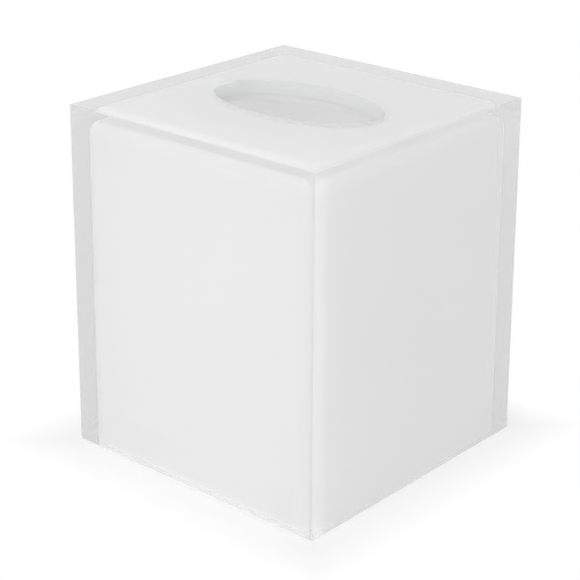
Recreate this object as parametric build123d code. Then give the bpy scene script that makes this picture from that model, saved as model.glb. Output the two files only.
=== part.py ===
from build123d import *
import os
from math import cos, radians

# Cover for a cube-shaped carton of facial tissues: a thick clear acrylic casting
# poured round an opal white liner.  It is open underneath, drops over the carton
# and hands the tissues up through an oval in its top.
# Frame: +Z up, origin at the middle of the base, base on z = 0, the oval's long way along X.
# Sizes are in millimetres.

# Overall size
base_width = 139.7          # square plan, measured round the foot of the clear casting
height = 158.75             # base to polished top
draft_angle = 0.43          # degrees that every wall leans in, so that it left its mould

# Clear casting
clear_wall = 6.35           # beside the liner
clear_top = 6.35            # above the liner
outer_ease = 0.4            # polished softening of the outer edges
foot_ease = 0.25            # softening of the edge that stands on the table

# White liner
liner_wall = 3.0
liner_top = 3.0
liner_edge_radius = 6.0     # the rounded edges that show through the clear layer
cavity_edge_radius = 4.0    # the rounded inside corners

# Oval mouth, cut through both layers in one pass
mouth_length = 87.0         # along X
mouth_width = 49.0          # along Y
mouth_ease = 0.6            # polished softening of the upper rim


def drafted_block(width, tall):
    """Square block that stands on the base plane, with its four walls leaning in."""
    return extrude(Rectangle(width, width), tall, taper=draft_angle)


def wall_and_top_edges(block):
    """The four upright edges and the four round the top: all but those at the base."""
    return block.edges().filter_by(lambda edge: edge.center().Z > block.center().Z / 2)


def width_inside(width, wall):
    """Width at the base of what is left inside walls of the given thickness."""
    return width - 2 * wall / cos(radians(draft_angle))


def mouth(tall):
    """Oval column that cuts the mouth through everything above the cavity."""
    return extrude(Ellipse(mouth_length / 2, mouth_width / 2), tall)


liner_width = width_inside(base_width, clear_wall)
liner_height = height - clear_top
cavity_width = width_inside(liner_width, liner_wall)
cavity_height = liner_height - liner_top
cavity_middle = cavity_height / 2


def liner_envelope():
    """Outside of the white liner, which is the inside of the clear casting."""
    block = drafted_block(liner_width, liner_height)
    return fillet(wall_and_top_edges(block), liner_edge_radius)


def cavity():
    """Room for the carton, open at the base."""
    block = drafted_block(cavity_width, cavity_height)
    return fillet(wall_and_top_edges(block), cavity_edge_radius)


def mouth_cutter():
    """The mouth, placed so that it runs from inside the cavity to above the top."""
    return Pos(0, 0, cavity_middle) * mouth(height)


def make_outer_casting():
    """Clear shell: crisp outside, and an inside that takes the liner's rounded shape."""
    block = drafted_block(base_width, height)
    block = fillet(wall_and_top_edges(block), outer_ease)
    foot = block.faces().sort_by(Axis.Z)[0]
    block = fillet(foot.edges(), foot_ease)
    shell = block - liner_envelope() - mouth_cutter()
    rim = shell.edges().filter_by(GeomType.ELLIPSE).sort_by(Axis.Z)[-1]
    return fillet(rim, mouth_ease)


def make_inner_liner():
    """White shell that the clear casting is poured round."""
    return liner_envelope() - cavity() - mouth_cutter()


sub_parts = {
    "outer_casting": make_outer_casting(),
    "inner_liner": make_inner_liner(),
}

os.makedirs("parts", exist_ok=True)
for name, shape in sub_parts.items():
    export_step(shape, f"parts/{name}.step")
    print(f"{name}: {shape.volume / 1000:.1f} cm3")
print(f"cavity {cavity_width:.2f} mm square at the base, {cavity_height:.2f} mm high")
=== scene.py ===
# %% [markdown]
# A cover for a cube carton of tissues: an opal white liner with rounded edges, inside a
# thick clear acrylic casting with crisp polished edges, and an oval mouth through both.
# What makes it look like itself is light bending in the clear layer, so the two layers are
# modelled as two closed solids with their real thickness, and the picture is left to the
# physics of clear plastic over white plastic.

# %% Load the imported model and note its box
import math

import bmesh
import bpy
from mathutils import Matrix, Quaternion, Vector


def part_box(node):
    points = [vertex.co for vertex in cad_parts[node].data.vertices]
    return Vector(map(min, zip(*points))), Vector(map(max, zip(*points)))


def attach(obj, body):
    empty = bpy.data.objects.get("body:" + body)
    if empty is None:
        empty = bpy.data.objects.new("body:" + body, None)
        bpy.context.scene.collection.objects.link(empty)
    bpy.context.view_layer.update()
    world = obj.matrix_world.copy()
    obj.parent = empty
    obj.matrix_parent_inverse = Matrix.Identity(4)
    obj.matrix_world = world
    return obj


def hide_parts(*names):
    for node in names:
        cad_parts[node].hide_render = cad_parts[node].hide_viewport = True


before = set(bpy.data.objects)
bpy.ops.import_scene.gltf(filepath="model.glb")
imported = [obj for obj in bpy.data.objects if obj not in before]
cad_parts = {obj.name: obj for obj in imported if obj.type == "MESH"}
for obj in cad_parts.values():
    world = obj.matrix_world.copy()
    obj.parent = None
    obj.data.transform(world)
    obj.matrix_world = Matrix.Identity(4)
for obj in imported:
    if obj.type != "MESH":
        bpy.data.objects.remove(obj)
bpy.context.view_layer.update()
scene = bpy.context.scene

# %% [markdown]
# Every length is in metres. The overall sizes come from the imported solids' own boxes, so the
# two layers can't drift away from the part. The small sizes that a box can't tell, such as
# how far the walls lean and how round the liner's edges are, are the part's own named sizes.

# %% Sizes of the two layers
millimetre = 0.001
draft = math.radians(0.43)
outer_ease = 0.4 * millimetre
foot_ease = 0.25 * millimetre
liner_edge_radius = 6.0 * millimetre
liner_wall = 3.0 * millimetre
cavity_edge_radius = 4.0 * millimetre
mouth_length = 87.0 * millimetre
mouth_width = 49.0 * millimetre
mouth_ease = 0.6 * millimetre
bond = 0.2 * millimetre  # how deep the clear layer is let into the liner, so no faces coincide
ledge = 0.03 * millimetre  # how far the liner stops short of the foot and of the mouth's wall


def width_of(node):
    """A node's width at its foot."""
    low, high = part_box(node)
    return high.x - low.x


base_width = width_of("outer_casting")
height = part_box("outer_casting")[1].z
liner_width = width_of("inner_liner")
liner_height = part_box("inner_liner")[1].z
cavity_width = liner_width - 2 * liner_wall / math.cos(draft)
cavity_height = liner_height - liner_wall
print(f"casting {base_width:.4f} x {height:.4f}, liner {liner_width:.4f} x {liner_height:.4f} m")

# %% [markdown]
# The camera comes first, because everything else is judged through it. It stands a little
# over five widths away with a long lens, looking down on the near upright edge, and it leans
# by a fraction of a degree, as a hand-levelled tripod does.

# %% Camera
camera_azimuth = math.radians(41.23)
camera_elevation = math.radians(22.32)
camera_roll = math.radians(0.23)
camera_distance = 5.502 * base_width
aim = Vector((-0.0022, -0.0292, 0.5178)) * base_width

back = Vector((
    math.sin(camera_azimuth) * math.cos(camera_elevation),
    -math.cos(camera_azimuth) * math.cos(camera_elevation),
    math.sin(camera_elevation),
))
camera_data = bpy.data.cameras.new("camera")
camera_data.sensor_width = 36.0
camera_data.lens = 107.07
camera = bpy.data.objects.new("camera", camera_data)
camera.rotation_mode = "QUATERNION"
camera.location = aim + back * camera_distance
camera.rotation_quaternion = (-back).to_track_quat("-Z", "Y") @ Quaternion((0, 0, 1), camera_roll)
scene.collection.objects.link(camera)
scene.camera = camera
print("camera", [round(v, 3) for v in camera.location])

# %% [markdown]
# Both layers are the same kind of shape: a square block with leaning walls and softened
# edges, hollowed by a second such block, and opened by an oval at the top. So one function
# makes a block, and one makes a whole layer out of two blocks and a stack of oval rings.


# %% A block with leaning walls and rounded edges
def edges_at(bm, level):
    """The edges that lie flat at a height."""
    near = 1e-6
    return [e for e in bm.edges if all(abs(v.co.z - level) < near for v in e.verts)]


def round_edges(bm, edges, radius, segments):
    """Rounds edges to a radius, in that many steps."""
    bmesh.ops.bevel(bm, geom=edges, offset=radius, offset_type="OFFSET", segments=segments,
                    profile=0.5, affect="EDGES", material=-1, clamp_overlap=True)


def drafted_block(width, low, high, radius, segments, foot_radius=0.0):
    """A square block from low to high, width wide at z = 0, whose upper and upright edges are round."""
    block = bmesh.new()
    bmesh.ops.create_cube(block, size=1.0)
    for v in block.verts:
        level = low if v.co.z < 0 else high
        side = width - 2 * level * math.tan(draft)
        v.co = Vector((v.co.x * side, v.co.y * side, level))
    foot = edges_at(block, low)
    round_edges(block, [e for e in block.edges if e not in foot], radius, segments)
    if foot_radius:
        round_edges(block, edges_at(block, low), foot_radius, 2)
    return block


# %% [markdown]
# The mouth is drawn as ovals stacked from the cavity's ceiling to the top, each a circle
# stretched to the mouth's length and width. The top few grow outwards to make the polished
# rim, and neighbouring ovals are bridged. The flat faces round the ovals are filled between
# two outlines, which is exact because they are flat. The mouth is routed and sanded on the
# real cover, so the faces of its wall take the layer's second material.


# %% A layer: outside block, inside block and mouth
mouth_segments = 192


def oval(bm, level, grow):
    """The edges of an oval at a height, larger than the mouth by grow all round."""
    stretch = Matrix.Diagonal((mouth_length / 2 + grow, mouth_width / 2 + grow, 1.0, 1.0))
    made = bmesh.ops.create_circle(bm, cap_ends=False, segments=mouth_segments, radius=1.0,
                                   matrix=Matrix.Translation((0, 0, level)) @ stretch)
    return list({e for v in made["verts"] for e in v.link_edges})


def open_flat(bm, level):
    """Takes out the flat face at a height and returns its outline."""
    near = 1e-6
    flat = [f for f in bm.faces if all(abs(v.co.z - level) < near for v in f.verts)]
    outline = list({e for f in flat for e in f.edges})
    bmesh.ops.delete(bm, geom=flat, context="FACES_ONLY")
    return outline


def layer(name, outside, inside, low, rings):
    """One closed layer from its two blocks. rings are the mouth's (height, growth) from the top down."""
    mesh = bpy.data.meshes.new(name)
    bm = bmesh.new()
    for block in (outside, inside):
        block.to_mesh(mesh)
        bm.from_mesh(mesh)
        block.free()
    levels = (rings[0][0], rings[-1][0])
    outlines = [open_flat(bm, level) for level in levels]
    ovals = [oval(bm, level, grow) for level, grow in rings]
    for upper, lower in zip(ovals, ovals[1:]):
        wall = bmesh.ops.bridge_loops(bm, edges=upper + lower)["faces"]
    for outline, ring in zip(outlines, (ovals[0], ovals[-1])):
        bmesh.ops.triangle_fill(bm, edges=outline + ring, use_beauty=True)
    for face in wall:
        face.material_index = 1
    bmesh.ops.triangle_fill(bm, edges=open_flat(bm, low), use_beauty=True)
    bmesh.ops.recalc_face_normals(bm, faces=bm.faces)
    bm.to_mesh(mesh)
    open_edges = sum(not e.is_manifold for e in bm.edges)
    print(f"{name}: {len(bm.faces)} faces, {open_edges} open edges, {bm.calc_volume() * 1e6:.1f} cm3")
    bm.free()
    piece = bpy.data.objects.new(name, mesh)
    scene.collection.objects.link(piece)
    return piece


# %% [markdown]
# The clear casting is the outer block less the liner's own outside. The two solids of the
# part meet face to face, and a renderer can't tell which of two coincident faces a ray meets
# first. So the clear layer is let into the liner by a fifth of a millimetre: light crosses
# the plastic and lands on white with no air between, as in the real bonded casting.

# %% Clear outer casting
rim_steps = 5
quarter = math.pi / 2
rim = [(height - mouth_ease * (1 - math.cos(k / rim_steps * quarter)),
        mouth_ease * (1 - math.sin(k / rim_steps * quarter))) for k in range(rim_steps + 1)]
casting_outside = drafted_block(base_width, 0.0, height, outer_ease, 4, foot_ease)
casting_inside = drafted_block(liner_width - 2 * bond, 0.0, liner_height - bond,
                               liner_edge_radius - bond, 16)
casting = layer("clear_casting", casting_outside, casting_inside, 0.0,
                rim + [(liner_height - bond, 0.0)])

# %% White inner liner
liner_outside = drafted_block(liner_width, ledge, liner_height, liner_edge_radius, 16)
liner_inside = drafted_block(cavity_width, ledge, cavity_height, cavity_edge_radius, 12)
liner = layer("white_liner", liner_outside, liner_inside, ledge,
              [(liner_height, ledge), (cavity_height, ledge)])


# %% [markdown]
# A flat face must stay flat and a rounded edge must run into it without a crease. Smooth
# shading with area-weighted normals does that: the large flat faces win where they meet the
# small ones of a rounded edge. Edges that are really sharp, at the foot and at the lower end
# of the mouth, are marked so that nothing is smoothed across them.


# %% Shading of the two layers
def finish_shading(piece, sharp_above=math.radians(40)):
    """Smooth rounded edges, flat faces, and true corners left sharp."""
    bm = bmesh.new()
    bm.from_mesh(piece.data)
    for face in bm.faces:
        face.smooth = True
    for edge in bm.edges:
        edge.smooth = edge.calc_face_angle() < sharp_above
    bm.to_mesh(piece.data)
    bm.free()
    weighted = piece.modifiers.new("even_normals", "WEIGHTED_NORMAL")
    weighted.mode = "FACE_AREA"
    weighted.weight = 100
    weighted.keep_sharp = True


for piece, node, slot in ((casting, "outer_casting", "clear_acrylic"),
                          (liner, "inner_liner", "white_acrylic")):
    finish_shading(piece)
    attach(piece, "root")
    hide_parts(node)

# %% [markdown]
# A material is a small piece of arithmetic on where a point lies in the plastic. The class
# below lets that arithmetic be written as ordinary Python: adding or multiplying two wires
# adds the Math node that does it.


# %% Shader arithmetic
class Wire:
    """One output of a node. Arithmetic on it adds Math nodes to its tree."""

    def __init__(self, tree, socket):
        self.tree = tree
        self.socket = socket

    def node(self, kind, settings=None, inputs=None, output=0):
        """Adds a node, sets it up, wires its inputs, and gives one of its outputs."""
        made = self.tree.nodes.new(kind)
        for key, value in (settings or {}).items():
            setattr(made, key, value)
        for key, value in (inputs or {}).items():
            if isinstance(value, Wire):
                self.tree.links.new(value.socket, made.inputs[key])
            else:
                made.inputs[key].default_value = value
        return Wire(self.tree, made.outputs[output] if made.outputs else None)

    def math(self, operation, first, second):
        """A Math node of two values."""
        return self.node("ShaderNodeMath", {"operation": operation}, {0: first, 1: second})

    def __add__(self, other):
        return self.math("ADD", self, other)

    def __radd__(self, other):
        return self.math("ADD", other, self)

    def __sub__(self, other):
        return self.math("SUBTRACT", self, other)

    def __rsub__(self, other):
        return self.math("SUBTRACT", other, self)

    def __mul__(self, other):
        return self.math("MULTIPLY", self, other)

    def __rmul__(self, other):
        return self.math("MULTIPLY", other, self)


def new_tree(owner, first_node, output):
    """Empties an owner's node tree and returns the wire that its arithmetic starts from."""
    owner.use_nodes = True
    tree = owner.node_tree
    tree.nodes.clear()
    return Wire(tree, None).node(first_node, output=output)


def cloud(place, size, detail=2.0):
    """Soft noise from 0 to 1, its lumps about size metres across."""
    return place.node("ShaderNodeTexNoise", None,
                      {"Vector": place, "Scale": 1 / size, "Detail": detail, "Roughness": 0.5})


def blend_colours(share, first, second):
    """A colour that goes from first to second as share goes from 0 to 1."""
    return share.node("ShaderNodeMix", {"data_type": "RGBA"},
                      {"Factor": share, 6: (*first, 1.0), 7: (*second, 1.0)}, output=2)


def bump(relief, depth):
    """A normal tilted by a relief of that depth in metres."""
    return relief.node("ShaderNodeBump", None, {"Height": relief, "Strength": 1.0, "Distance": depth})


def tool_marks(place):
    """Fine marks that run round a cut: noise squeezed eight times in height."""
    squeezed = place.node("ShaderNodeMapping", None, {"Vector": place, "Scale": (1.0, 1.0, 8.0)})
    return cloud(squeezed, 0.004, 3.0)


# %% [markdown]
# Clear cast acrylic: it bends light by 1.49 and is polished on every outer face, so it is
# nearly free of roughness. A polished face is never perfect, so its roughness drifts
# a little where it was handled, and the buffed surface keeps a long shallow ripple that
# shows only in reflections.

# %% Material: clear polished acrylic
clear = bpy.data.materials.new("clear_acrylic")
place = new_tree(clear, "ShaderNodeTexCoord", "Object")
handling = cloud(place, 0.03, 3.0)
ripple = cloud(place, 0.045, 1.0)
surface = place.node("ShaderNodeBsdfPrincipled", None, {
    "Base Color": blend_colours(cloud(place, 0.08), (0.985, 0.99, 0.988), (1.0, 1.0, 1.0)),
    "Roughness": 0.004 + 0.02 * handling,
    "IOR": 1.49,
    "Transmission Weight": 1.0,
    "Normal": bump(ripple, 0.00004),
})
place.node("ShaderNodeOutputMaterial", None, {"Surface": surface})
casting.data.materials.append(clear)

# %% [markdown]
# The mouth is routed through the finished casting, and its wall is only sanded. A sanded cut in
# clear acrylic scatters most of the light and passes the rest blurred, so it is white and
# see-through in about equal parts. The tool leaves fine marks that run round the cut, and they
# vary the colour and the roughness as well as the relief.

# %% Material: the mouth's wall in the clear acrylic
cut = bpy.data.materials.new("cut_acrylic")
place = new_tree(cut, "ShaderNodeTexCoord", "Object")
marks = tool_marks(place)
surface = place.node("ShaderNodeBsdfPrincipled", None, {
    "Base Color": blend_colours(marks, (0.81, 0.82, 0.82), (0.86, 0.87, 0.87)),
    "Roughness": 0.4 + 0.15 * marks,
    "IOR": 1.49,
    "Transmission Weight": 0.45,
    "Normal": bump(marks, 0.00003),
})
place.node("ShaderNodeOutputMaterial", None, {"Surface": surface})
casting.data.materials.append(cut)

# %% [markdown]
# Opal white acrylic: a clean neutral white that lets light through without letting anything be
# seen through it. The inside of the cover is lit mostly by that light, and is nearly as bright
# as the outside. So the shader is two thirds a white surface and one third a translucent one,
# which takes light from its far side. The white loses next to no light, or the inside would
# turn grey. The pigment settles a little unevenly, so the white drifts by a percent or so in
# soft clouds, and a fine grain dulls the gloss.

# %% Material: opal white acrylic
translucent_share = 0.33
white = bpy.data.materials.new("white_acrylic")
place = new_tree(white, "ShaderNodeTexCoord", "Object")
pigment = cloud(place, 0.05, 3.0)
grain = cloud(place, 0.0012, 2.0)
surface = place.node("ShaderNodeBsdfPrincipled", None, {
    "Base Color": blend_colours(pigment, (0.988, 0.988, 0.988), (0.998, 0.998, 0.996)),
    "Roughness": 0.14 + 0.06 * grain,
    "IOR": 1.49,
    "Normal": bump(grain, 0.00002),
})
through = place.node("ShaderNodeBsdfTranslucent", None, {"Color": (0.998, 0.998, 0.998, 1.0)})
opal = place.node("ShaderNodeMixShader", None, {0: translucent_share, 1: surface, 2: through})
place.node("ShaderNodeOutputMaterial", None, {"Surface": opal})
liner.data.materials.append(white)

# %% [markdown]
# Lower down the mouth's wall cuts through the opal layer. It is the same white there, sanded
# matt, and its colour is set a shade deeper than the moulded face: painted shade that dims the
# cut where it faces up inside the mouth.

# %% Material: the mouth's wall in the opal acrylic, darkened by painted shade
cut_white_painted_shade = bpy.data.materials.new("cut_white_painted_shade")
place = new_tree(cut_white_painted_shade, "ShaderNodeTexCoord", "Object")
marks = tool_marks(place)
# The base colour below is a darker white than the moulded face, which is painted shade; only its
# variation along the tool marks is the cut's own.
surface = place.node("ShaderNodeBsdfPrincipled", None, {
    "Base Color": blend_colours(marks, (0.81, 0.81, 0.81), (0.85, 0.85, 0.848)),
    "Roughness": 0.5 + 0.15 * marks,
    "IOR": 1.49,
    "Normal": bump(marks, 0.00003),
})
place.node("ShaderNodeOutputMaterial", None, {"Surface": surface})
liner.data.materials.append(cut_white_painted_shade)

# %% [markdown]
# The cover stands on a plain white table in a plain white studio. The world is white to the
# eye and to reflections, and gives a softer light to everything it falls on. The table is
# lit like anything else, so that it holds the cover's shadow, and a little white is added
# to what the eye sees of it. Within a thumb's width of the cover the table turns into a plain
# white sweep, as white paper does under lamps of its own. That changes only what is seen of
# the table: the light that it throws on the cover stays the same.


# %% Light path
def seen_directly(path):
    """1 for a ray that carries the picture, straight or through clear plastic, and 0 for the rest."""
    outputs = path.socket.node.outputs
    picture = Wire(path.tree, outputs["Is Camera Ray"])
    picture = picture.math("MAXIMUM", picture, Wire(path.tree, outputs["Is Glossy Ray"]))
    picture = picture.math("MAXIMUM", picture, Wire(path.tree, outputs["Is Transmission Ray"]))
    scattered = Wire(path.tree, outputs["Diffuse Depth"])
    return picture * path.math("LESS_THAN", scattered, 0.5)


# %% World
world = bpy.data.worlds.new("studio")
scene.world = world
path = new_tree(world, "ShaderNodeLightPath", "Is Camera Ray")
world_light = 0.66
strength = world_light + (1.0 - world_light) * seen_directly(path)
shine = path.node("ShaderNodeBackground", None, {"Color": (1.0, 1.0, 1.0, 1.0), "Strength": strength})
path.node("ShaderNodeOutputWorld", None, {"Surface": shine})

# %% Table
table_size = 8.0
table_white = 0.94
table_lift = 0.16
sweep_width = 30 * millimetre
table_mesh = bpy.data.meshes.new("table")
bm = bmesh.new()
bmesh.ops.create_grid(bm, x_segments=1, y_segments=1, size=table_size / 2,
                      matrix=Matrix.Translation((0, 0, -bond)))
bm.to_mesh(table_mesh)
bm.free()
table = bpy.data.objects.new("table", table_mesh)
scene.collection.objects.link(table)
matt = bpy.data.materials.new("matt_white")
path = new_tree(matt, "ShaderNodeLightPath", "Is Camera Ray")
lit = path.node("ShaderNodeBsdfDiffuse", None, {"Color": (table_white, table_white, table_white, 1.0)})
glow = path.node("ShaderNodeEmission", None, {"Strength": table_lift * seen_directly(path)})
near = path.node("ShaderNodeAddShader", None, {0: lit, 1: glow})
white_out = path.node("ShaderNodeEmission", None, {"Strength": 1.0})
spot = path.node("ShaderNodeTexCoord", output="Object")
spot = spot.node("ShaderNodeVectorMath", {"operation": "ABSOLUTE"}, {0: spot})
spot = spot.node("ShaderNodeSeparateXYZ", None, {0: spot})
reach = spot.math("MAXIMUM", spot, Wire(spot.tree, spot.socket.node.outputs["Y"]))
far = path.node("ShaderNodeMapRange", {"interpolation_type": "SMOOTHSTEP"},
                {"Value": reach, "From Min": base_width / 2, "From Max": base_width / 2 + sweep_width})
sweep = path.node("ShaderNodeMixShader", None, {0: far * seen_directly(path), 1: near, 2: white_out})
path.node("ShaderNodeOutputMaterial", None, {"Surface": sweep})
table_mesh.materials.append(matt)

# %% [markdown]
# Three soft lamps add to the white studio. A broad low one faces the left face and makes it the
# brightest, one before the near upright edge gives the right face its share, and a small high
# one brightens the liner's rounded upper edge.


# %% Lamps
def soft_lamp(name, azimuth, elevation, distance, size, power):
    """A square lamp that faces the middle of the cover. Azimuth 0 is straight in front."""
    turn, lift = math.radians(azimuth), math.radians(elevation)
    away = Vector((math.sin(turn) * math.cos(lift), -math.cos(turn) * math.cos(lift), math.sin(lift)))
    data = bpy.data.lights.new(name, "AREA")
    data.size = size
    data.energy = power
    lamp = bpy.data.objects.new(name, data)
    lamp.rotation_mode = "QUATERNION"
    lamp.location = Vector((0, 0, height / 2)) + away * distance
    lamp.rotation_quaternion = (-away).to_track_quat("-Z", "Y")
    scene.collection.objects.link(lamp)


soft_lamp("front_lamp", azimuth=5, elevation=20, distance=1.6, size=0.8, power=3.8)
soft_lamp("side_lamp", azimuth=35, elevation=30, distance=1.6, size=0.6, power=1.5)
soft_lamp("edge_lamp", azimuth=10, elevation=50, distance=1.6, size=0.3, power=1.0)

# %% [markdown]
# Light that enters the clear layer bounces many times between it and the white before it comes
# out, and the inside of the cover is lit after many more, so the limits on bounces are high.
# The filter that blurs sharp reflections after a bounce is off, because it throws away about
# half the light that passes through the clear layer.

scene.view_settings.view_transform = "Standard"
scene.cycles.max_bounces = 48
scene.cycles.diffuse_bounces = 40
scene.cycles.glossy_bounces = 16
scene.cycles.transmission_bounces = 24
scene.cycles.blur_glossy = 0.0
